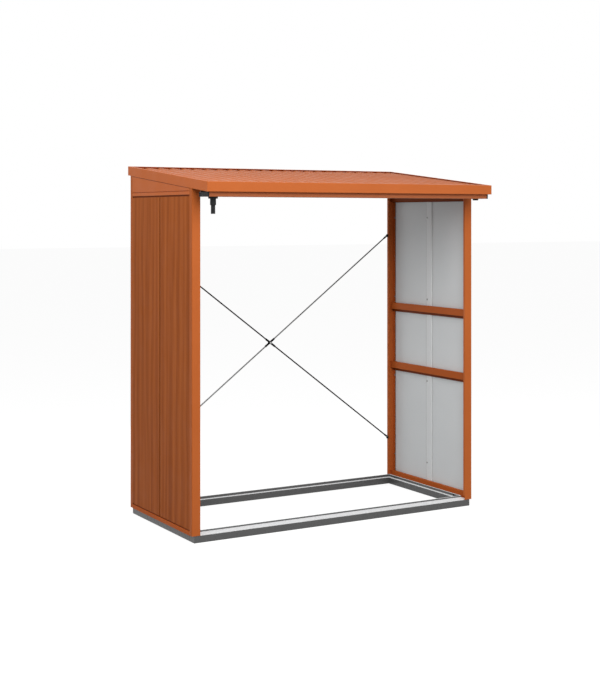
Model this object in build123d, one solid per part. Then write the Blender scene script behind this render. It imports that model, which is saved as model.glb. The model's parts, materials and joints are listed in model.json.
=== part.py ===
from build123d import *
import os

# Log store in folded sheet steel: two closed side walls on a sill frame, open at the front and the
# back, under a ribbed roof that falls to a gutter at the front, with a crossed brace at the back.
# Millimetres, +Z up, front towards -Y, origin on the ground at the middle of the roof's outline.

# Overall sizes
base_width = 1786
base_depth = 807
front_overhang = 187.5
back_overhang = 33
front_height = 1876
back_height = 1985

# Sheet thicknesses and the inside radius of their folds
sheet = 1.5
skin = 1.0
fold_radius = 1.0

# Sill profile, from its outer face inwards
sill_width = 39
side_sill_width = 50
sill_face_height = 38.5
sill_shoulder = 6
sill_rise = 10.8
sill_lip_inset = 29
sill_lip_height = 9.2
sill_lip_fold = 5.2
sill_inner_height = 38
sill_inner_slope = 5.5
sill_foot = 12

# Posts, and how the walls stand on the sills
wall_outset = 13.75
wall_overhang = 3
post_face = 49
post_leg = 30
post_lip = 15
post_clearance = 2
foot_clearance = 1

# Wall panels, seam strips and rails
panel_return = 5
groove = 8
strip_front = 17
strip_back = 20
strip_flange = 22
strip_thickness = 1.2
rail_depth = 18
rail_height = 56
rail_lip = 40
lower_rail_top = 773
upper_rail_top = 1148.5
top_rail_rise = 19
top_rail_height = 44
bottom_rail_rise = 19
skirt_lap = 1.5
skirt_height = 21

# Gables and headers
gable_drop = 65
gable_strip = 18
gable_bead = 3
gable_edge = 6
gable_flange = 20
header_height = 80
header_depth = 30

# Roof sheets and fascias
fascia_height = 52
fascia_overlap = 2
fascia_return = 20
front_fascia_return = 45
fascia_drop = 6
sheet_count = 3
ribs_per_sheet = 8
rib_height = 8
rib_base = 30
rib_crown = 16
sheet_front_inset = 36

# Gutter
gutter_setback = 19
gutter_depth = 102
gutter_show = 25
gutter_front_height = 50
gutter_flange = 20
gutter_cap_outset = 4
gutter_cap_thickness = 9
gutter_cap_height = 25
gutter_cap_rim = 5
gutter_cap_recess = 2
outlet_inset = 51
outlet_bore = 18
outlet_flange_diameter = 50
outlet_flange_drop = 10
outlet_tube_diameter = 31
outlet_tube_drop = 44
outlet_spigot_diameter = 22.5
outlet_spigot_drop = 88
outlet_chamfer = 2
plug_inset = 46
plug_diameter = 33
plug_drop = 9
plug_stem_length = 4
plug_clearance = 0.3

# Back brace
brace_top_drop = 301
brace_bottom = 290
rod_diameter = 8
rod_gap = 1
rod_clearance = 0.2
brace_plate_thickness = 3
brace_plate_width = 15
brace_plate_height = 18
sleeve_diameter = 12
sleeve_tip_diameter = 10
sleeve_length = 32
clip_diameter = 18
clip_thickness = 20
clip_arm_diameter = 12
clip_arm_length = 38

# Places worked out from those sizes
depth = front_overhang + base_depth + back_overhang
roof_front = -depth / 2
roof_back = depth / 2
base_front = roof_front + front_overhang
base_back = base_front + base_depth
base_middle = (base_front + base_back) / 2
base_side = base_width / 2
wall_side = base_side + wall_outset
wall_front = base_front - wall_overhang
wall_back = base_back + wall_overhang
roof_side = wall_side + fascia_overlap
roof_pitch = (back_height - front_height) / depth
roof_peak = max(front_height, back_height)
eaves = min(front_height, back_height)
sill_top = sill_face_height + sill_rise + sill_lip_height
side_stretch = side_sill_width / sill_width
skirt_bottom = sill_face_height - skirt_lap
skirt_top = skirt_bottom + skirt_height
panel_bottom = skirt_top + groove
gable_bottom = eaves - gable_drop
panel_top = gable_bottom - groove
rail_seat = panel_return + strip_thickness
rail_reach = rail_seat + rail_depth
post_inner_side = wall_side - post_face
gutter_front = roof_front + gutter_setback
gutter_back = gutter_front + gutter_depth
gutter_bottom = front_height - fascia_height - gutter_show
gutter_end = base_side + gutter_cap_outset - gutter_cap_thickness
across_back = Plane((0, base_middle, 0), x_dir=(1, 0, 0), z_dir=(0, 1, 0))


def roof_top(y):
    """Height of the fascias' top edges, which fall from the back to the front."""
    return front_height + (y - roof_front) * roof_pitch


def rib_top(y):
    return roof_top(y) - fascia_drop


def roof_underside(y):
    return rib_top(y) - rib_height - skin


def outline(points):
    return make_face(Polyline(*points, close=True))


def folded(points, thickness):
    """Section of a sheet bent along the points, with its thickness on the right of their travel."""
    path = [Vector(*point) for point in points]
    normals = []
    for start, end in zip(path, path[1:]):
        travel = (end - start).normalized()
        normals.append(Vector(travel.Y, -travel.X))
    corners = [normals[0], *normals, normals[-1]]
    inner = []
    for point, before, after in zip(path, corners, corners[1:]):
        mitre = (before + after) * (thickness / (1 + before.dot(after)))
        inner.append(point + mitre)
    path_radii = []
    inner_radii = []
    for before, after in zip(normals, normals[1:]):
        turns_left = before.cross(after).Z > 0
        path_radii.append(fold_radius if turns_left else fold_radius + thickness)
        inner_radii.append(fold_radius + thickness if turns_left else fold_radius)
    faces = FilletPolyline(*path, radius=path_radii) + FilletPolyline(*inner, radius=inner_radii)
    ends = Line(path[0], inner[0]) + Line(path[-1], inner[-1])
    return make_face(faces + ends)


def along_x(section, start, end):
    """Run a (Y, Z) section from one X to another."""
    plane = Plane((start, 0, 0), x_dir=(0, 1, 0), z_dir=(1, 0, 0))
    return extrude(plane * section, amount=end - start, dir=(1, 0, 0))


def along_y(section, start, end, pitch=0):
    """Run an (X, Z) section from one Y to another, rising by the pitch with upright ends."""
    plane = Plane((0, start, 0), x_dir=(1, 0, 0), z_dir=(0, -1, 0))
    run = Vector(0, end - start, (end - start) * pitch)
    return extrude(plane * section, amount=run.length, dir=run)


def along_z(section, start, end):
    """Run an (X, Y) section from one Z to another."""
    return extrude(Pos(0, 0, start) * section, amount=end - start, dir=(0, 0, 1))


def box_between(low, high):
    size = Vector(*high) - Vector(*low)
    middle = (Vector(*high) + Vector(*low)) / 2
    return Pos(middle) * Box(size.X, size.Y, size.Z)


def rod_between(start, end, diameter):
    """Round bar between two points."""
    run = end - start
    plane = Plane(start, z_dir=run)
    return extrude(plane * Circle(diameter / 2), amount=run.length)


def taper_between(start, end, start_diameter, end_diameter):
    """Round bar that narrows from one point to another."""
    run = end - start
    plane = Plane(start + run / 2, z_dir=run)
    return plane * Cone(start_diameter / 2, end_diameter / 2, run.length)


def mirrored_back(solid):
    return mirror(solid, about=across_back)


def mirrored_right(solid):
    return mirror(solid, about=Plane.YZ)


def sill_section(outer, stretch=1):
    """Roll-formed sill: feet turned in, a top that falls outwards, a folded lip and a sloping back."""
    slope_top = sill_face_height + sill_rise
    steps = [
        (sill_foot, 0),
        (0, 0),
        (0, sill_face_height),
        (sill_shoulder, sill_face_height),
        (sill_lip_inset, slope_top),
        (sill_lip_inset, sill_top),
        (sill_lip_inset + sill_lip_fold, sill_top),
        (sill_lip_inset + sill_lip_fold, sill_inner_height + sill_inner_slope),
        (sill_width, sill_inner_height),
        (sill_width, 0),
        (sill_width - sill_foot, 0),
    ]
    return folded([(outer + inward * stretch, up) for inward, up in steps], sheet)


def make_sills():
    """Four rails, mitred at the corners of the base, the side ones rolled wider."""
    inner_side = base_side - side_sill_width
    inner_front = base_front + sill_width
    inner_back = base_back - sill_width
    front_plan = outline([
        (-base_side, base_front),
        (base_side, base_front),
        (inner_side, inner_front),
        (-inner_side, inner_front),
    ])
    left_plan = outline([
        (-base_side, base_front),
        (-inner_side, inner_front),
        (-inner_side, inner_back),
        (-base_side, base_back),
    ])
    front = along_x(sill_section(base_front), -base_side, base_side) & along_z(front_plan, 0, sill_top)
    side_section = sill_section(-base_side, side_stretch)
    left = along_y(side_section, base_front, base_back) & along_z(left_plan, 0, sill_top)
    return {
        "front_sill": front,
        "back_sill": mirrored_back(front),
        "left_sill": left,
        "right_sill": mirrored_right(left),
    }


def make_post(top):
    """Left front post: a C section that hangs outside the sill, with a foot turned in over it."""
    left = -wall_side
    section = folded([
        (left + post_face, wall_front + post_lip),
        (left + post_face, wall_front),
        (left, wall_front),
        (left, wall_front + post_leg),
    ], sheet)
    notch = box_between(
        (left + sheet, wall_front + sheet, sill_face_height),
        (left + post_face, wall_front + post_lip, sill_top + post_clearance),
    )
    foot = box_between(
        (left + rail_reach + post_clearance, wall_front, sill_face_height),
        (left + post_face, base_front + sill_shoulder - foot_clearance, sill_face_height + sheet),
    )
    return along_z(section, sill_face_height, top) - notch + foot


def make_posts():
    front = make_post(roof_underside(wall_front) - post_clearance)
    back = mirrored_back(make_post(roof_underside(wall_back - post_leg) - post_clearance))
    return {
        "front_left_post": front,
        "front_right_post": mirrored_right(front),
        "back_left_post": back,
        "back_right_post": mirrored_right(back),
    }


def make_panels():
    """Flat pans with their upright edges turned in, two to a wall with a groove between them."""
    start = wall_front + post_leg
    end = base_middle - groove / 2
    section = folded([
        (-wall_side + panel_return, start),
        (-wall_side, start),
        (-wall_side, end),
        (-wall_side + panel_return, end),
    ], skin)
    front = along_z(section, panel_bottom, panel_top)
    back = mirrored_back(front)
    return {
        "left_front_panel": front,
        "right_front_panel": mirrored_right(front),
        "left_back_panel": back,
        "right_back_panel": mirrored_right(back),
    }


def make_seam_strips():
    """Hat section behind the groove between a wall's two panels, with one flange to screw down."""
    seat = -wall_side + skin
    crown = -wall_side + rail_seat
    front = base_middle - strip_front
    back = base_middle + strip_back
    section = folded([
        (seat + strip_thickness, back + strip_flange),
        (seat + strip_thickness, back),
        (crown, back),
        (crown, front),
        (seat, front),
    ], strip_thickness)
    left = along_z(section, panel_bottom, panel_top)
    return {"left_seam_strip": left, "right_seam_strip": mirrored_right(left)}


def wall_rail(steps):
    """Left wall rail between its two posts, from (inward, height) steps."""
    section = folded([(-wall_side + inward, up) for inward, up in steps], sheet)
    return along_y(section, wall_front + sheet, wall_back - sheet)


def make_hook_rail(top, height):
    """Rail with a web on the wall, a top flange and a lip turned down towards the logs."""
    return wall_rail([
        (rail_seat, top - height),
        (rail_seat, top),
        (rail_reach, top),
        (rail_reach, top - rail_lip),
    ])


def make_bottom_rail():
    """Rail whose lip stands on the sloping sill, with a skirt outside that sheds water past it."""
    slope = sill_rise / (sill_lip_inset - sill_shoulder)
    lip_inset = (rail_reach - wall_outset) / side_stretch
    lip_bottom = sill_face_height + slope * (lip_inset - sill_shoulder)
    rail_top = skirt_top + bottom_rail_rise
    rail = wall_rail([
        (0, skirt_bottom),
        (0, skirt_top),
        (rail_seat, skirt_top),
        (rail_seat, rail_top),
        (rail_reach, rail_top),
        (rail_reach, lip_bottom),
    ])
    front_notch = box_between(
        (-wall_side, wall_front, skirt_bottom),
        (-wall_side + rail_seat, wall_front + post_leg, skirt_top),
    )
    return rail - front_notch - mirrored_back(front_notch)


def make_rails():
    rails = {
        "bottom_rail": make_bottom_rail(),
        "lower_rail": make_hook_rail(lower_rail_top, rail_height),
        "upper_rail": make_hook_rail(upper_rail_top, rail_height),
        "top_rail": make_hook_rail(gable_bottom + top_rail_rise, top_rail_height),
    }
    nodes = {}
    for name, rail in rails.items():
        nodes["left_" + name] = rail
        nodes["right_" + name] = mirrored_right(rail)
    return nodes


def make_gables():
    """Sheet over each wall, with a bead pressed in along its foot and a flange under the roof."""
    left = -wall_side
    start = wall_front + post_leg
    end = wall_back - post_leg
    strip_top = gable_bottom + gable_strip
    bead_top = strip_top + gable_bead
    plate_bottom = bead_top + gable_edge
    strip = along_y(folded([
        (left + rail_seat, gable_bottom),
        (left, gable_bottom),
        (left, strip_top),
        (left + panel_return, strip_top),
        (left + panel_return, bead_top),
        (left, bead_top),
        (left, plate_bottom),
    ], skin), start, end)
    plate = along_x(outline([
        (start, plate_bottom),
        (start, roof_underside(start)),
        (end, roof_underside(end)),
        (end, plate_bottom),
    ]), left, left + skin)
    flange = along_y(outline([
        (left, roof_underside(start) - skin),
        (left, roof_underside(start)),
        (left + gable_flange, roof_underside(start)),
        (left + gable_flange, roof_underside(start) - skin),
    ]), start, end, roof_pitch)
    gable = strip + plate + flange
    return {"left_gable": gable, "right_gable": mirrored_right(gable)}


def make_headers():
    """Channels across the top of the front and back posts, their upper flanges along the slope."""
    front_inner = wall_front + header_depth
    front_bottom = roof_underside(wall_front) - header_height
    front = folded([
        (front_inner, front_bottom),
        (wall_front, front_bottom),
        (wall_front, roof_underside(wall_front)),
        (front_inner, roof_underside(front_inner)),
    ], sheet)
    back_inner = wall_back - header_depth
    back_bottom = roof_underside(wall_back) - header_height
    back = folded([
        (back_inner, roof_underside(back_inner)),
        (wall_back, roof_underside(wall_back)),
        (wall_back, back_bottom),
        (back_inner, back_bottom),
    ], sheet)
    return {
        "front_header": along_x(front, -post_inner_side, post_inner_side),
        "back_header": along_x(back, -post_inner_side, post_inner_side),
    }


def make_roof_sheets():
    """Ribbed sheets side by side, laid from behind the front fascia and held by the other three."""
    start = roof_front + sheet_front_inset
    end = roof_back - sheet
    edge = roof_side - sheet
    sheet_width = 2 * edge / sheet_count
    rib_spacing = sheet_width / ribs_per_sheet
    pan = rib_top(start) - rib_height
    nodes = {}
    for index, place in enumerate(["left", "middle", "right"]):
        left = -edge + index * sheet_width
        points = [(left, pan)]
        for rib in range(ribs_per_sheet):
            middle = left + (rib + 1 / 2) * rib_spacing
            points += [
                (middle - rib_base / 2, pan),
                (middle - rib_crown / 2, pan + rib_height),
                (middle + rib_crown / 2, pan + rib_height),
                (middle + rib_base / 2, pan),
            ]
        points.append((left + sheet_width, pan))
        nodes[place + "_roof_sheet"] = along_y(folded(points, skin), start, end, roof_pitch)
    return nodes


def make_fascias():
    """Edge trims with a top turned in over the ribs, mitred at the corners, lipped at the front."""
    front_lip = roof_front + front_fascia_return
    back_lip = roof_back - fascia_return
    side_lip = roof_side - fascia_return
    front = folded([
        (gutter_front, front_height - fascia_height),
        (roof_front, front_height - fascia_height),
        (roof_front, front_height),
        (front_lip, roof_top(front_lip)),
        (front_lip, rib_top(front_lip)),
    ], sheet)
    back = folded([
        (back_lip, roof_top(back_lip)),
        (roof_back, back_height),
        (roof_back, back_height - fascia_height),
    ], sheet)
    side = folded([
        (-roof_side, front_height - fascia_height),
        (-roof_side, front_height),
        (-side_lip, front_height),
    ], sheet)
    front_plan = outline([
        (-roof_side, roof_front),
        (roof_side, roof_front),
        (side_lip, front_lip),
        (-side_lip, front_lip),
    ])
    back_plan = outline([
        (-roof_side, roof_back),
        (-side_lip, back_lip),
        (side_lip, back_lip),
        (roof_side, roof_back),
    ])
    left_plan = outline([
        (-roof_side, roof_front),
        (-side_lip, front_lip),
        (-side_lip, back_lip),
        (-roof_side, roof_back),
    ])
    left = along_y(side, roof_front, roof_back, roof_pitch) & along_z(left_plan, 0, roof_peak)
    return {
        "front_fascia": along_x(front, -roof_side, roof_side) & along_z(front_plan, 0, roof_peak),
        "back_fascia": along_x(back, -roof_side, roof_side) & along_z(back_plan, 0, roof_peak),
        "left_fascia": left,
        "right_fascia": mirrored_right(left),
    }


def make_gutter():
    """Trough hung from the roof sheets, with an outlet at the left and a plugged hole at the right."""
    flange_end = gutter_back - gutter_flange
    trough = along_x(folded([
        (flange_end, roof_underside(flange_end)),
        (gutter_back, roof_underside(gutter_back)),
        (gutter_back, gutter_bottom),
        (gutter_front, gutter_bottom),
        (gutter_front, gutter_bottom + gutter_front_height),
    ], sheet), -gutter_end, gutter_end)
    middle = (gutter_front + gutter_back) / 2
    outlet_x = -base_side + outlet_inset
    plug_x = base_side - plug_inset
    for x in (outlet_x, plug_x):
        hole = Circle(outlet_bore / 2)
        trough -= along_z(Pos(x, middle) * hole, gutter_bottom, gutter_bottom + sheet)

    cap_outline = Rectangle(gutter_depth, gutter_cap_height)
    cap_middle = gutter_bottom + gutter_cap_height / 2
    cap_cavity = offset(cap_outline, -gutter_cap_rim)
    cap_face = Pos(middle, cap_middle) * cap_outline
    cap_recess = Pos(middle, cap_middle) * cap_cavity
    cap_end = -gutter_end - gutter_cap_thickness
    cap = along_x(cap_face, cap_end, -gutter_end)
    cap -= along_x(cap_recess, cap_end, cap_end + gutter_cap_recess)

    outlet = Pos(outlet_x, middle, gutter_bottom) * revolve(Plane.XZ * outline([
        (outlet_bore / 2, 0),
        (outlet_flange_diameter / 2, 0),
        (outlet_flange_diameter / 2, -outlet_flange_drop + outlet_chamfer),
        (outlet_flange_diameter / 2 - outlet_chamfer, -outlet_flange_drop),
        (outlet_tube_diameter / 2, -outlet_flange_drop),
        (outlet_tube_diameter / 2, -outlet_tube_drop + outlet_chamfer),
        (outlet_spigot_diameter / 2 + outlet_chamfer, -outlet_tube_drop),
        (outlet_spigot_diameter / 2, -outlet_tube_drop),
        (outlet_spigot_diameter / 2, -outlet_spigot_drop),
        (outlet_bore / 2, -outlet_spigot_drop),
    ]), axis=Axis.Z)
    stem_radius = outlet_bore / 2 - plug_clearance
    plug = Pos(plug_x, middle, gutter_bottom) * revolve(Plane.XZ * outline([
        (0, plug_stem_length),
        (stem_radius, plug_stem_length),
        (stem_radius, 0),
        (plug_diameter / 2, 0),
        (plug_diameter / 2, -plug_drop + outlet_chamfer),
        (plug_diameter / 2 - outlet_chamfer, -plug_drop),
        (0, -plug_drop),
    ]), axis=Axis.Z)
    return {
        "gutter": trough,
        "gutter_left_cap": cap,
        "gutter_right_cap": mirrored_right(cap),
        "gutter_outlet": outlet,
        "gutter_plug": plug,
    }


def make_brace():
    """Two rods that cross between the back posts, their ends in sleeves, clipped where they cross."""
    plane = wall_back - post_lip / 2
    brace_top = eaves - brace_top_drop
    spacing = (rod_diameter + rod_gap) / 2
    reach = post_inner_side - brace_plate_thickness
    middle_height = (brace_top + brace_bottom) / 2
    bay = box_between((-post_inner_side, base_front, 0), (post_inner_side, roof_back, roof_peak))
    nodes = {}
    clip = Pos(0, plane, middle_height) * Rot(X=90) * Cylinder(clip_diameter / 2, clip_thickness)
    bores = []
    for name, y, left_height, right_height in (
        ("falling", plane - spacing, brace_top, brace_bottom),
        ("rising", plane + spacing, brace_bottom, brace_top),
    ):
        left = Vector(-reach, y, left_height)
        right = Vector(reach, y, right_height)
        travel = (right - left).normalized()
        rod = rod_between(left + travel * sleeve_length, right - travel * sleeve_length, rod_diameter)
        nodes[name + "_brace"] = rod
        middle = (left + right) / 2
        arm = travel * clip_arm_length
        clip += rod_between(middle - arm, middle + arm, clip_arm_diameter)
        bores.append(rod_between(middle - arm * 2, middle + arm * 2, rod_diameter + 2 * rod_clearance))
        for side, end, inward in (("left", left, travel), ("right", right, -travel)):
            sleeve = rod_between(end - inward * sleeve_diameter, end, sleeve_diameter)
            sleeve += taper_between(
                end, end + inward * sleeve_length, sleeve_diameter, sleeve_tip_diameter)
            plate = Pos(end.X, plane, end.Z) * Box(
                2 * brace_plate_thickness, brace_plate_width, brace_plate_height)
            nodes[f"{side}_{name}_brace_end"] = (sleeve + plate) & bay
    for bore in bores:
        clip -= bore
    nodes["brace_clip"] = clip
    return nodes


parts = {
    **make_sills(),
    **make_posts(),
    **make_panels(),
    **make_seam_strips(),
    **make_rails(),
    **make_gables(),
    **make_headers(),
    **make_roof_sheets(),
    **make_fascias(),
    **make_gutter(),
    **make_brace(),
}

os.makedirs("parts", exist_ok=True)
for name, solid in parts.items():
    export_step(solid, f"parts/{name}.step")
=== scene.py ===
import json
import math

import bmesh
import bpy
from mathutils import Matrix, Vector


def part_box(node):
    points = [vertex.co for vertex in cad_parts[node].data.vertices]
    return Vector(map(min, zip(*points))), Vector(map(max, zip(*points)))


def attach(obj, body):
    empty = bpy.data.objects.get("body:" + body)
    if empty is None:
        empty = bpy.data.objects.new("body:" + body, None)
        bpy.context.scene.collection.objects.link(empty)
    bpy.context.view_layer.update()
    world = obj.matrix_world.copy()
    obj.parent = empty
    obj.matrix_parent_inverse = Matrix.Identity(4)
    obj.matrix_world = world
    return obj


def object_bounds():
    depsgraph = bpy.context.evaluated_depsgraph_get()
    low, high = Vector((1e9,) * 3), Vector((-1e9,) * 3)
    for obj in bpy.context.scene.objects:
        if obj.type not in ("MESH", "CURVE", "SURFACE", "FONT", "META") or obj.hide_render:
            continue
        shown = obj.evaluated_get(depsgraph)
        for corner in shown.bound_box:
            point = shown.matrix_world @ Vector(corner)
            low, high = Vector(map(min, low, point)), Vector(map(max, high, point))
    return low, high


# Looks of the log store: paint, wood-grain print, screws, camera and studio. Metres, +Z up, front -Y.

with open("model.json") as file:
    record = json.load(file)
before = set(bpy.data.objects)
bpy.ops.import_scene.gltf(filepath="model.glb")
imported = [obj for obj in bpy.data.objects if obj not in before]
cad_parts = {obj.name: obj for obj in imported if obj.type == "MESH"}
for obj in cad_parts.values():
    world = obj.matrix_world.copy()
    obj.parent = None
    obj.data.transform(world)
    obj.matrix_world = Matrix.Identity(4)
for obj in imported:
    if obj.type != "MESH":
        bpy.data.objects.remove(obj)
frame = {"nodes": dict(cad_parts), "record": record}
nodes = frame["nodes"]
cad_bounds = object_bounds()
wall_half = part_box("front_right_post")[1].x

# Camera, level and turned to the right, with its frame shifted down to the base
IMAGE_HEIGHT = 700
FOCAL_PIXELS = 1315.2
HORIZON_ROW = 216
CAMERA_PLACE = (-3.852, -6.49825, 1.700)
CAMERA_YAW = 30.217

# Studio
SKY_STRENGTH = 0.42
FLOOR_SIZE = 120.0
FLOOR_CELLS = 4
FLOOR_TONE = 0.35
FLOOR_GLOW = 0.82
AIM = (0.0, 0.0, 1.0)
LAMP_SIZE = 3.0
KEY_PLACE = (-1.7, -3.7, 3.8)
KEY_POWER = 125.0
SIDE_PLACE = (-3.6, -0.4, 3.6)
SIDE_POWER = 52.0
FILL_PLACE = (2.0, -4.2, 3.4)
FILL_POWER = 60.0
BACK_PLACE = (-0.4, 3.4, 1.0)
BACK_SIZE = 1.2
BACK_POWER = 20.0

# Paints, each a dark and a light tone
ORANGE = ((0.525, 0.127, 0.028), (0.560, 0.140, 0.032))
# Darker orange: painted shade on the posts' outer side faces, the same paint as ORANGE.
SHADED_SIDE_ORANGE = ((0.415, 0.098, 0.017), (0.445, 0.106, 0.019))
RAIL_ORANGE = ((0.490, 0.108, 0.021), (0.520, 0.118, 0.024))
# Gutter orange: a duller tone of its own, made darker as painted shade under the fascia.
GUTTER_SHADED_ORANGE = ((0.390, 0.112, 0.039), (0.415, 0.121, 0.043))
ROOF_ORANGE = ((0.490, 0.131, 0.036), (0.520, 0.143, 0.041))
UNDERSIDE_GREY = ((0.400, 0.410, 0.415), (0.430, 0.440, 0.445))
# Dark brown: painted shade on rail faces in recesses, on the top rails under the roof and in the shadow
# lines under the side fascias.
PAINTED_SHADE_BROWN = ((0.200, 0.040, 0.008), (0.230, 0.046, 0.009))
# Near-black brown: painted shade in the grooves between wall panels, on the panel edges and on the seam
# strip behind them.
GROOVE_SHADE_BROWN = ((0.035, 0.008, 0.002), (0.045, 0.010, 0.003))
PALE_GREY = ((0.790, 0.820, 0.830), (0.815, 0.845, 0.855))
STRIP_GREY = ((0.845, 0.870, 0.878), (0.870, 0.895, 0.903))
# Grey of the painted shadow lines along the seam strips.
STRIP_SHADOW_GREY = ((0.600, 0.610, 0.615), (0.630, 0.640, 0.645))
SILL_GREY = ((0.106, 0.106, 0.106), (0.112, 0.112, 0.112))
# Pale tone of the sill's upward faces: partly a lighter top finish, partly painted reflection of the bright
# sky.
SILL_PALE_AND_SHEEN = ((0.800, 0.810, 0.820), (0.820, 0.830, 0.840))
ZINC = ((0.340, 0.340, 0.335), (0.400, 0.400, 0.395))
ROD_STEEL = ((0.125, 0.125, 0.123), (0.150, 0.150, 0.148))
BLACK = ((0.012, 0.012, 0.013), (0.020, 0.021, 0.022))
FITTING_BLACK = ((0.003, 0.003, 0.003), (0.006, 0.006, 0.006))

# Specular levels
MATT = 0.03
EGGSHELL = 0.09
SATIN = 0.12
SILL_GLOSS = 0.30
ROOF_GLOSS = 0.32
BARE_METAL = 0.50

# Roughness, each a low and a high value
PAINT_ROUGHNESS = (0.42, 0.52)
PANEL_ROUGHNESS = (0.45, 0.55)
SILL_ROUGHNESS = (0.24, 0.32)
STEEL_ROUGHNESS = (0.28, 0.42)
PLASTIC_ROUGHNESS = (0.40, 0.55)

# Where on the noise a drift from one tone or value to the other starts and ends
DRIFT_START = 0.3
DRIFT_END = 0.7

# Noise cells a metre: drift of tone, drift of roughness and relief
PAINT_TONE_SCALE = 3.0
BACK_TONE_SCALE = 4.0
SILL_TONE_SCALE = 18.0
STEEL_TONE_SCALE = 90.0
PLASTIC_TONE_SCALE = 60.0
PAINT_ROUGHNESS_SCALE = 9.0
SILL_ROUGHNESS_SCALE = 30.0
STEEL_ROUGHNESS_SCALE = 120.0
PLASTIC_ROUGHNESS_SCALE = 80.0
PEEL_SCALE = 420.0
STEEL_SCALE = 600.0
SPARK_SCALE = 1400.0

# Layers of detail in the noise
COARSE_DETAIL = 2.0
MIDDLE_DETAIL = 3.0
FINE_DETAIL = 4.0

# Surface relief
PEEL_DEPTH = 0.0003
STEEL_DEPTH = 0.0001
SPARK_DEPTH = 0.0002
RELIEF_STRENGTH = 0.5

# Wood-grain print: its tones at their places on the grain, and its upright bands, pores and figure
GRAIN_DARK = (0.300, 0.073, 0.015)
GRAIN_MIDDLE = (0.388, 0.099, 0.022)
GRAIN_LIGHT = (0.460, 0.126, 0.030)
GRAIN_STOPS = ((0.32, GRAIN_DARK), (0.50, GRAIN_MIDDLE), (0.68, GRAIN_LIGHT))
GRAIN_DEPTH = 0.0003
GRAIN_STRENGTH = 0.4
GRAIN_WAVER = 0.05
WAVER_SCALE = 2.2
WAVER_HEIGHT_SHARE = 0.5
BAND_SCALE = 24.0
BAND_HEIGHT_SHARE = 0.03
BAND_WEIGHT = 0.50
PORE_SCALE = 190.0
PORE_HEIGHT_SHARE = 0.02
PORE_WEIGHT = 0.35
FIGURE_SCALE = 5.0
FIGURE_HEIGHT_SHARE = 0.07
FIGURE_DISTORTION = 9.0
FIGURE_DETAIL_SCALE = 1.2
FIGURE_WEIGHT = 0.15

# How far a face has to turn one way to count as looking that way
FACING_LIMIT = 0.3
SILL_TOP_LIMIT = 0.5

# Places of the colours among the sockets of a mix node
MIX_FIRST = 6
MIX_SECOND = 7
MIX_RESULT = 2

# Sheet thicknesses
SHEET = 0.0015
SKIN = 0.0010
STRIP_SHEET = 0.0012

# Screws and bolts; a head's rings are shares of its radius: (spread, rise), and (width, rise) in the socket
SCREW_SIDES = 24
HEAD_SHARES = [(1.00, 0.00), (1.00, 0.14), (0.92, 0.32), (0.74, 0.50), (0.55, 0.58)]
SOCKET_SHARES = [(0.80, 0.58), (0.76, 0.22)]
SOCKET_FLATS = 6
SHARP_DEGREES = 35
SCREW_RADIUS = 0.0060
SCREW_FIRST = 0.182
SCREW_PITCH = 0.502
SCREW_ROWS = 4
STRIP_SCREW_INSET = 0.008
LEG_SCREW_INSET = 0.007
SILL_WIDTH = 0.039
SILL_LIP_SHARE = 0.877
SILL_SCREW_DROP = 0.009
SILL_SCREW_INSET = 0.055
CLIP_BOLT_RADIUS = 0.0075
BRACE_BOLT_RADIUS = 0.0040
BRACE_BOLT_INSET = 0.012
BRACE_BOLT_STEP = 0.0005

# Depths below the wall's face between which a rail is painted dark as shade, on its outer and its inner
# faces
RECESS_DEPTH = 0.003
LIP_DEPTH = 0.015

# Painted shadow lines: thin dark prisms under the side fascias and along the seam strips
FASCIA_HEIGHT = 0.052
FASCIA_SHADOW_HEIGHT = 0.003
FASCIA_SHADOW_DEPTH = 0.002
STRIP_SHADOW_WIDTH = 0.005


def add_node(tree, kind, inputs=None, **settings):
    """Node with its settings, each input either linked to a socket or given a value."""
    node = tree.nodes.new(kind)
    for setting, value in settings.items():
        setattr(node, setting, value)
    for socket, value in (inputs or {}).items():
        if isinstance(value, bpy.types.NodeSocket):
            tree.links.new(value, node.inputs[socket])
        else:
            node.inputs[socket].default_value = value
    return node


def new_material(name, specular):
    """Material, its node tree and its shader."""
    material = bpy.data.materials.new(name)
    material.use_nodes = True
    tree = material.node_tree
    shader = tree.nodes["Principled BSDF"]
    shader.inputs["Specular IOR Level"].default_value = specular
    return material, tree, shader


def part_coordinates(tree):
    """Coordinates of the part's frame."""
    return add_node(tree, "ShaderNodeTexCoord").outputs["Object"]


def squeezed(tree, coordinates, height_share):
    """Coordinates with their heights cut to a share, which draws a pattern out upright."""
    inputs = {0: coordinates, 1: (1, 1, height_share)}
    return add_node(tree, "ShaderNodeVectorMath", inputs, operation="MULTIPLY").outputs["Vector"]


def noise(tree, coordinates, scale, detail):
    """Noise at a number of cells a metre."""
    inputs = {"Vector": coordinates, "Scale": scale, "Detail": detail}
    return add_node(tree, "ShaderNodeTexNoise", inputs).outputs["Fac"]


def ramp(tree, factor, *stops):
    """Colours, or grey values, spread over a factor at the given places."""
    node = add_node(tree, "ShaderNodeValToRGB", {"Fac": factor})
    elements = node.color_ramp.elements
    while len(elements) < len(stops):
        elements.new(1.0)
    for element, (place, value) in zip(elements, stops):
        colour = value if isinstance(value, tuple) else (value, value, value)
        element.position = place
        element.color = (*colour, 1.0)
    return node.outputs["Color"]


def math_node(tree, operation, *values):
    """Result of one sum or comparison."""
    return add_node(tree, "ShaderNodeMath", dict(enumerate(values)), operation=operation).outputs["Value"]


def weighted_sum(tree, *parts):
    """Sum of (factor, weight) pairs."""
    total = None
    for factor, weight in parts:
        part = math_node(tree, "MULTIPLY", factor, weight)
        total = part if total is None else math_node(tree, "ADD", total, part)
    return total


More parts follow.
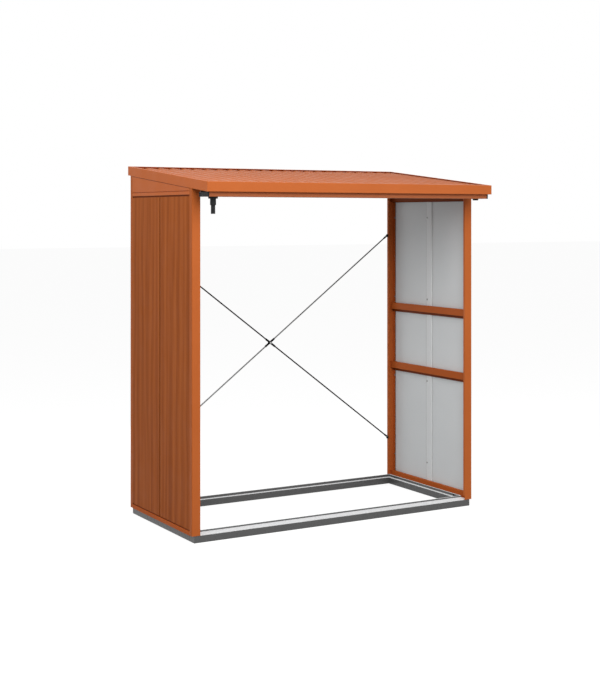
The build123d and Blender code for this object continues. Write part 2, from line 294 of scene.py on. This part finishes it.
def mix_colour(tree, factor, first, second):
    """The first colour where the factor is 0, and the second where it is 1."""
    inputs = {"Factor": factor, MIX_FIRST: first, MIX_SECOND: second}
    return add_node(tree, "ShaderNodeMix", inputs, data_type="RGBA").outputs[MIX_RESULT]


def drift(tree, coordinates, scale, ends, detail=FINE_DETAIL):
    """Slow drift between two tones or two values."""
    low, high = ends
    return ramp(tree, noise(tree, coordinates, scale, detail), (DRIFT_START, low), (DRIFT_END, high))


def set_colour(tree, shader, colour):
    """Colour of a surface."""
    tree.links.new(colour, shader.inputs["Base Color"])


def set_roughness(tree, shader, coordinates, scale, ends):
    """Roughness that drifts between two values."""
    tree.links.new(drift(tree, coordinates, scale, ends, MIDDLE_DETAIL), shader.inputs["Roughness"])


def set_bump(tree, shader, height, distance, strength=RELIEF_STRENGTH):
    """Relief of a surface."""
    bump = add_node(tree, "ShaderNodeBump", {"Height": height, "Distance": distance, "Strength": strength})
    tree.links.new(bump.outputs["Normal"], shader.inputs["Normal"])


def surface_part(tree, source, axis):
    """A component of the true surface normal or of the place on the part."""
    vector = add_node(tree, "ShaderNodeNewGeometry").outputs[source]
    return add_node(tree, "ShaderNodeSeparateXYZ", {0: vector}).outputs[axis]


def away_from_store(tree, limit):
    """1 on faces of a wall that look outward by more than a limit, and 0 on the others."""
    across = surface_part(tree, "True Normal", "X")
    outward = math_node(tree, "MULTIPLY", across, surface_part(tree, "Position", "X"))
    return math_node(tree, "GREATER_THAN", outward, limit)


def outer_face(tree):
    """1 on the outer faces of a wall, and 0 on the others."""
    return away_from_store(tree, FACING_LIMIT)


def not_inner_face(tree):
    """0 on the inner faces of a wall, and 1 on the others."""
    return away_from_store(tree, -FACING_LIMIT)


def painted_shade_recess(tree):
    """1 on faces of a rail below the wall's face or behind the hanging lip, which are painted dark as
    shade, and 0 on the others.
    """
    place = math_node(tree, "ABSOLUTE", surface_part(tree, "Position", "X"))
    below_wall = math_node(tree, "LESS_THAN", place, wall_half - RECESS_DEPTH)
    behind_lip = math_node(tree, "GREATER_THAN", place, wall_half - LIP_DEPTH)
    inner_face = math_node(tree, "SUBTRACT", 1.0, not_inner_face(tree))
    outer = math_node(tree, "MINIMUM", below_wall, outer_face(tree))
    inner = math_node(tree, "MINIMUM", behind_lip, inner_face)
    return math_node(tree, "MAXIMUM", outer, inner)


def facing_down(tree):
    """1 on undersides, and 0 on the other faces."""
    return math_node(tree, "LESS_THAN", surface_part(tree, "True Normal", "Z"), -FACING_LIMIT)


def finish_coat(tree, shader, coordinates, colour):
    """Colour and the fine orange-peel surface of a powder coat."""
    set_colour(tree, shader, colour)
    set_roughness(tree, shader, coordinates, PAINT_ROUGHNESS_SCALE, PAINT_ROUGHNESS)
    set_bump(tree, shader, noise(tree, coordinates, PEEL_SCALE, MIDDLE_DETAIL), PEEL_DEPTH)


def powder_coat(name, specular, tones):
    """Powder-coated sheet with a faint drift of tone."""
    material, tree, shader = new_material(name, specular)
    coordinates = part_coordinates(tree)
    finish_coat(tree, shader, coordinates, drift(tree, coordinates, PAINT_TONE_SCALE, tones))
    return material


def two_tone_coat(name, specular, front, back, on_back):
    """Sheet with a second tone where on_back is 1: another coat on the back of the roof, and painted shade
    on the posts, rails and seam strips.
    """
    material, tree, shader = new_material(name, specular)
    coordinates = part_coordinates(tree)
    front_colour = drift(tree, coordinates, PAINT_TONE_SCALE, front)
    back_colour = drift(tree, coordinates, BACK_TONE_SCALE, back)
    finish_coat(tree, shader, coordinates, mix_colour(tree, on_back(tree), front_colour, back_colour))
    return material


def wood_grain(tree, coordinates):
    """Upright grain: broad bands, fine pores and a faint arched figure."""
    waver = noise(tree, squeezed(tree, coordinates, WAVER_HEIGHT_SHARE), WAVER_SCALE, COARSE_DETAIL)
    sway = math_node(tree, "MULTIPLY", waver, GRAIN_WAVER)
    shift = add_node(tree, "ShaderNodeCombineXYZ", {1: sway}).outputs["Vector"]
    swayed = add_node(tree, "ShaderNodeVectorMath", {0: coordinates, 1: shift}).outputs["Vector"]
    bands = noise(tree, squeezed(tree, swayed, BAND_HEIGHT_SHARE), BAND_SCALE, FINE_DETAIL)
    pores = noise(tree, squeezed(tree, swayed, PORE_HEIGHT_SHARE), PORE_SCALE, MIDDLE_DETAIL)
    figure = add_node(tree, "ShaderNodeTexWave", {
        "Vector": squeezed(tree, swayed, FIGURE_HEIGHT_SHARE),
        "Scale": FIGURE_SCALE,
        "Distortion": FIGURE_DISTORTION,
        "Detail": MIDDLE_DETAIL,
        "Detail Scale": FIGURE_DETAIL_SCALE,
    }, bands_direction="Y").outputs["Fac"]
    return weighted_sum(tree, (bands, BAND_WEIGHT), (pores, PORE_WEIGHT), (figure, FIGURE_WEIGHT))


def woodgrain_panel(name):
    """Steel panel: an upright wood-grain print outside, a pale coat inside, and edges and returns painted
    near-black as shade in the grooves.
    """
    material, tree, shader = new_material(name, MATT)
    coordinates = part_coordinates(tree)
    grain = wood_grain(tree, coordinates)
    wood = ramp(tree, grain, *GRAIN_STOPS)
    # The panel's edges and returns take the painted groove shade.
    edge = drift(tree, coordinates, BACK_TONE_SCALE, GROOVE_SHADE_BROWN)
    coat = drift(tree, coordinates, BACK_TONE_SCALE, PALE_GREY)
    coat_with_groove_shade = mix_colour(tree, not_inner_face(tree), coat, edge)
    set_colour(tree, shader, mix_colour(tree, outer_face(tree), coat_with_groove_shade, wood))
    set_roughness(tree, shader, coordinates, PAINT_ROUGHNESS_SCALE, PANEL_ROUGHNESS)
    set_bump(tree, shader, grain, GRAIN_DEPTH, GRAIN_STRENGTH)
    return material


def sill_coat(name):
    """Sill profile: dark grey sides and pale glossy tops; the pale upward faces are partly a lighter top
    finish and partly painted reflection of the bright sky.
    """
    material, tree, shader = new_material(name, SILL_GLOSS)
    coordinates = part_coordinates(tree)
    sides = drift(tree, coordinates, SILL_TONE_SCALE, SILL_GREY)
    tops = drift(tree, coordinates, SILL_TONE_SCALE, SILL_PALE_AND_SHEEN)
    upward = math_node(tree, "GREATER_THAN", surface_part(tree, "True Normal", "Z"), SILL_TOP_LIMIT)
    # Upward faces pale: partly a lighter top finish, partly painted reflection of the bright sky.
    set_colour(tree, shader, mix_colour(tree, upward, sides, tops))
    set_roughness(tree, shader, coordinates, SILL_ROUGHNESS_SCALE, SILL_ROUGHNESS)
    return material


def steel(name, tones):
    """Bare or plated steel with a fine mottle."""
    material, tree, shader = new_material(name, BARE_METAL)
    coordinates = part_coordinates(tree)
    set_colour(tree, shader, drift(tree, coordinates, STEEL_TONE_SCALE, tones))
    set_roughness(tree, shader, coordinates, STEEL_ROUGHNESS_SCALE, STEEL_ROUGHNESS)
    set_bump(tree, shader, noise(tree, coordinates, STEEL_SCALE, COARSE_DETAIL), STEEL_DEPTH)
    shader.inputs["Metallic"].default_value = 1.0
    return material


def black_plastic(name, specular, tones):
    """Moulded black plastic with a fine spark texture."""
    material, tree, shader = new_material(name, specular)
    coordinates = part_coordinates(tree)
    set_colour(tree, shader, drift(tree, coordinates, PLASTIC_TONE_SCALE, tones))
    set_roughness(tree, shader, coordinates, PLASTIC_ROUGHNESS_SCALE, PLASTIC_ROUGHNESS)
    set_bump(tree, shader, noise(tree, coordinates, SPARK_SCALE, COARSE_DETAIL), SPARK_DEPTH)
    return material


def hexagon_radius(angle, across):
    """Distance from the middle of a hexagon to its side at an angle."""
    sector = math.tau / SOCKET_FLATS
    return across / 2 / math.cos(angle % sector - sector / 2)


def add_screw(mesh, place, outward, radius):
    """Button-head screw with a hexagon socket, seated on a face at a place."""
    turn = Vector(outward).to_track_quat("Z", "Y").to_matrix().to_4x4()
    seat = Matrix.Translation(place) @ turn
    angles = [math.tau * step / SCREW_SIDES for step in range(SCREW_SIDES)]
    rings = [([spread] * SCREW_SIDES, rise) for spread, rise in HEAD_SHARES]
    for across, rise in SOCKET_SHARES:
        rings.append(([hexagon_radius(angle, across) for angle in angles], rise))
    loops = []
    for spreads, rise in rings:
        points = [
            Vector((math.cos(angle) * spread, math.sin(angle) * spread, rise)) * radius
            for angle, spread in zip(angles, spreads)
        ]
        loops.append([mesh.verts.new(seat @ point) for point in points])
    for lower, upper in zip(loops, loops[1:]):
        for step in range(SCREW_SIDES):
            mesh.faces.new((lower[step - 1], lower[step], upper[step], upper[step - 1]))
    mesh.faces.new(loops[-1])
    mesh.faces.new(reversed(loops[0]))


def add_piece(name, mesh, material):
    """Piece of the part from a finished mesh, smooth except at sharp edges."""
    bmesh.ops.recalc_face_normals(mesh, faces=mesh.faces)
    data = bpy.data.meshes.new(name)
    mesh.to_mesh(data)
    mesh.free()
    for polygon in data.polygons:
        polygon.use_smooth = True
    data.set_sharp_from_angle(angle=math.radians(SHARP_DEGREES))
    data.materials.append(material)
    piece = bpy.data.objects.new(name, data)
    bpy.context.scene.collection.objects.link(piece)
    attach(piece, "root")


def make_screws(name, places, radius, material):
    """One joined piece of screws at (place, outward) pairs."""
    mesh = bmesh.new()
    for place, outward in places:
        add_screw(mesh, place, outward, radius)
    add_piece(name, mesh, material)


def make_shadow_prisms(name, shadow_prisms, material):
    """One joined piece of painted shadow lines, each a dark prism between its two end rings."""
    mesh = bmesh.new()
    for first, last in shadow_prisms:
        starts = [mesh.verts.new(point) for point in first]
        ends = [mesh.verts.new(point) for point in last]
        for step in range(len(starts)):
            mesh.faces.new((starts[step - 1], starts[step], ends[step], ends[step - 1]))
        mesh.faces.new(starts)
        mesh.faces.new(ends)
    add_piece(name, mesh, material)


def fascia_shadow_lines(inward, side):
    """Painted shadow line: a thin dark prism in the corner between a side fascia's lower edge and the gable
    behind it.
    """
    fascia_low, fascia_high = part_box(side + "_fascia")
    gable_low, gable_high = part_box(side + "_gable")
    pitch = (fascia_high.z - fascia_low.z - FASCIA_HEIGHT) / (fascia_high.y - fascia_low.y)
    wall = gable_low.x if inward > 0 else gable_high.x
    rings = []
    for y in (gable_low.y, gable_high.y):
        top = fascia_low.z + pitch * (y - fascia_low.y)
        rings.append([
            (wall, y, top),
            (wall - inward * FASCIA_SHADOW_DEPTH, y, top),
            (wall, y, top - FASCIA_SHADOW_HEIGHT),
        ])
    return [rings]


def strip_shadow_lines(inward, side):
    """Painted shadow lines: grey prisms in the corners between a seam strip's two edges and the panels
    behind it.
    """
    low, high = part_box(side + "_seam_strip")
    panel_face = inward * (SKIN - wall_half)
    shadow_prisms = []
    for edge, away in ((low.y, -1), (high.y, 1)):
        shadow_prisms.append([
            [
                (panel_face, edge, z),
                (panel_face + inward * STRIP_SHEET, edge, z),
                (panel_face, edge + away * STRIP_SHADOW_WIDTH, z),
            ]
            for z in (low.z, high.z)
        ])
    return shadow_prisms


def wall_screw_places(inward, side):
    """Screws up the seam strip's flange and up the legs of both posts, on the inside of a wall."""
    strip_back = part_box(side + "_seam_strip")[1].y
    front_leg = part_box(f"front_{side}_post")[1].y
    back_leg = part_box(f"back_{side}_post")[0].y
    columns = [
        (inward * (SKIN + STRIP_SHEET - wall_half), strip_back - STRIP_SCREW_INSET),
        (inward * (SHEET - wall_half), front_leg - LEG_SCREW_INSET),
        (inward * (SHEET - wall_half), back_leg + LEG_SCREW_INSET),
    ]
    heights = [SCREW_FIRST + SCREW_PITCH * row for row in range(SCREW_ROWS)]
    return [(Vector((x, y, height)), (inward, 0, 0)) for x, y in columns for height in heights]


def sill_screw_places(inward, side):
    """Screws through the upright lip of a side sill, near both its ends."""
    low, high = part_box(side + "_sill")
    lip_depth = (high.x - low.x) * SILL_LIP_SHARE
    face = low.x + lip_depth if inward > 0 else high.x - lip_depth
    reach = SILL_WIDTH + SILL_SCREW_INSET
    height = high.z - SILL_SCREW_DROP
    return [(Vector((face, y, height)), (inward, 0, 0)) for y in (low.y + reach, high.y - reach)]


def brace_bolt_places(inward, side):
    """Bolts sunk in the sleeves of a side's brace ends, on the rods' lines close to the post."""
    places = []
    for rod, rise in (("falling", -1), ("rising", 1)):
        fitting_low, fitting_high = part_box(f"{side}_{rod}_brace_end")
        post_face = fitting_low.x if inward > 0 else fitting_high.x
        low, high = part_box(rod + "_brace")
        middle = (low + high) / 2
        slope = rise * (high.z - low.z) / (high.x - low.x)
        x = post_face + inward * BRACE_BOLT_INSET
        z = middle.z + slope * (x - middle.x)
        places.append((Vector((x, low.y - BRACE_BOLT_STEP, z)), (0, -1, 0)))
    return places


def clip_bolt_places():
    """Bolt heads on the front and the back of the clip where the rods cross."""
    low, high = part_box("brace_clip")
    middle = (low + high) / 2
    front = Vector((middle.x, low.y, middle.z))
    back = Vector((middle.x, high.y, middle.z))
    return [(front, (0, -1, 0)), (back, (0, 1, 0))]


def seen_directly(tree):
    """1 for camera, mirror and see-through rays, 0 for the light that falls on surfaces."""
    path = add_node(tree, "ShaderNodeLightPath")
    rays = [path.outputs[kind] for kind in ("Is Camera Ray", "Is Glossy Ray", "Is Transmission Ray")]
    return math_node(tree, "MAXIMUM", math_node(tree, "MAXIMUM", rays[0], rays[1]), rays[2])


def make_floor():
    """Pale floor that looks white to the camera."""
    mesh = bmesh.new()
    bmesh.ops.create_grid(mesh, x_segments=FLOOR_CELLS, y_segments=FLOOR_CELLS, size=FLOOR_SIZE / 2)
    data = bpy.data.meshes.new("floor")
    mesh.to_mesh(data)
    mesh.free()
    floor = bpy.data.objects.new("floor", data)
    floor.location.z = cad_bounds[0].z
    bpy.context.scene.collection.objects.link(floor)
    material, tree, shader = new_material("floor_paint", 0.0)
    shader.inputs["Base Color"].default_value = (FLOOR_TONE, FLOOR_TONE, FLOOR_TONE, 1)
    shader.inputs["Roughness"].default_value = 1.0
    shader.inputs["Emission Color"].default_value = (1, 1, 1, 1)
    glow = math_node(tree, "MULTIPLY", seen_directly(tree), FLOOR_GLOW)
    tree.links.new(glow, shader.inputs["Emission Strength"])
    data.materials.append(material)


def make_world():
    """White surroundings that light the part at a plain level."""
    world = bpy.data.worlds.new("studio")
    bpy.context.scene.world = world
    world.use_nodes = True
    tree = world.node_tree
    background = tree.nodes["Background"]
    background.inputs["Color"].default_value = (1, 1, 1, 1)
    extra = math_node(tree, "MULTIPLY", seen_directly(tree), 1.0 - SKY_STRENGTH)
    tree.links.new(math_node(tree, "ADD", extra, SKY_STRENGTH), background.inputs["Strength"])


def add_lamp(name, place, power, size=LAMP_SIZE):
    """Soft square lamp aimed at the middle of the part."""
    data = bpy.data.lights.new(name, "AREA")
    data.size = size
    data.energy = power
    lamp = bpy.data.objects.new(name, data)
    lamp.location = place
    lamp.rotation_mode = "QUATERNION"
    lamp.rotation_quaternion = (Vector(AIM) - Vector(place)).to_track_quat("-Z", "Y")
    bpy.context.scene.collection.objects.link(lamp)


def make_camera():
    """Level camera with its lens and shift worked out from the picture's rows."""
    data = bpy.data.cameras.new("camera")
    data.lens = data.sensor_width * FOCAL_PIXELS / IMAGE_HEIGHT
    data.shift_y = (HORIZON_ROW - IMAGE_HEIGHT / 2) / IMAGE_HEIGHT
    camera = bpy.data.objects.new("camera", data)
    camera.location = CAMERA_PLACE
    camera.rotation_euler = (math.radians(90), 0, -math.radians(CAMERA_YAW))
    bpy.context.scene.collection.objects.link(camera)
    bpy.context.scene.camera = camera


# Finishes by material slot, by family of sub-parts and by sub-part
finishes = {
    "orange_sheet": powder_coat("orange_sheet", SATIN, ORANGE),
    "roof_sheet": two_tone_coat("roof_sheet", ROOF_GLOSS, ROOF_ORANGE, UNDERSIDE_GREY, facing_down),
    "woodgrain_panel": woodgrain_panel("woodgrain_panel"),
    # The seam strip's outer face, seen at the back of the grooves, is painted near-black as shade.
    "pale_grey_strip": two_tone_coat("pale_grey_strip", MATT, STRIP_GREY, GROOVE_SHADE_BROWN, outer_face),
    "grey_sill": sill_coat("grey_sill"),
    "brace_rod": steel("brace_rod", ROD_STEEL),
    "brace_fitting": black_plastic("brace_fitting", MATT, FITTING_BLACK),
    "black_plastic": black_plastic("black_plastic", SATIN, BLACK),
}
# Coat in the painted shade brown.
painted_shade_coat = powder_coat("painted_shade_coat", MATT, PAINTED_SHADE_BROWN)
family_finishes = {
    # Rails: orange, with painted shade on the faces below the wall's face and behind the lip.
    "rail": two_tone_coat("rail_coat", MATT, RAIL_ORANGE, PAINTED_SHADE_BROWN, painted_shade_recess),
    # Posts: orange, with painted shade on their outer side faces.
    "post": two_tone_coat("post_coat", EGGSHELL, ORANGE, SHADED_SIDE_ORANGE, outer_face),
}
own_finishes = {
    # Gutter in its duller orange, darkened as painted shade.
    "gutter": powder_coat("gutter_shaded_coat", SATIN, GUTTER_SHADED_ORANGE),
    # The falling brace takes the near-black fitting finish as painted shade: it is the same steel rod as
    # the rising brace.
    "falling_brace": finishes["brace_fitting"],
    # The top rails under the roof are painted all in the shade brown, as painted shade.
    "left_top_rail": painted_shade_coat,
    "right_top_rail": painted_shade_coat,
}
for subpart in frame["record"]["subparts"]:
    node = subpart["node"]
    family = node.split("_")[-1]
    finish = own_finishes.get(node) or family_finishes.get(family) or finishes[subpart["material_slot"]]
    materials = nodes[node].data.materials
    materials.clear()
    materials.append(finish)

# Screws, bolts and painted shadow lines
zinc = steel("zinc", ZINC)
black = finishes["black_plastic"]
# Coat of the painted shadow lines along the seam strips.
strip_shadow_line = powder_coat("strip_shadow_line", MATT, STRIP_SHADOW_GREY)
for side, inward in (("left", 1), ("right", -1)):
    make_screws(side + "_wall_screws", wall_screw_places(inward, side), SCREW_RADIUS, zinc)
    make_screws(side + "_sill_screws", sill_screw_places(inward, side), SCREW_RADIUS, black)
    make_screws(side + "_brace_bolts", brace_bolt_places(inward, side), BRACE_BOLT_RADIUS, zinc)
    # Painted shadow lines under the side fascias and along the seam strips.
    make_shadow_prisms(side + "_fascia_shadow_line", fascia_shadow_lines(inward, side), painted_shade_coat)
    make_shadow_prisms(side + "_strip_shadow_lines", strip_shadow_lines(inward, side), strip_shadow_line)
make_screws("clip_bolts", clip_bolt_places(), CLIP_BOLT_RADIUS, zinc)

# Studio and camera
make_floor()
make_world()
add_lamp("key", KEY_PLACE, KEY_POWER)
add_lamp("side", SIDE_PLACE, SIDE_POWER)
add_lamp("fill", FILL_PLACE, FILL_POWER)
add_lamp("back", BACK_PLACE, BACK_POWER, BACK_SIZE)
make_camera()
bpy.context.scene.view_settings.view_transform = "Standard"
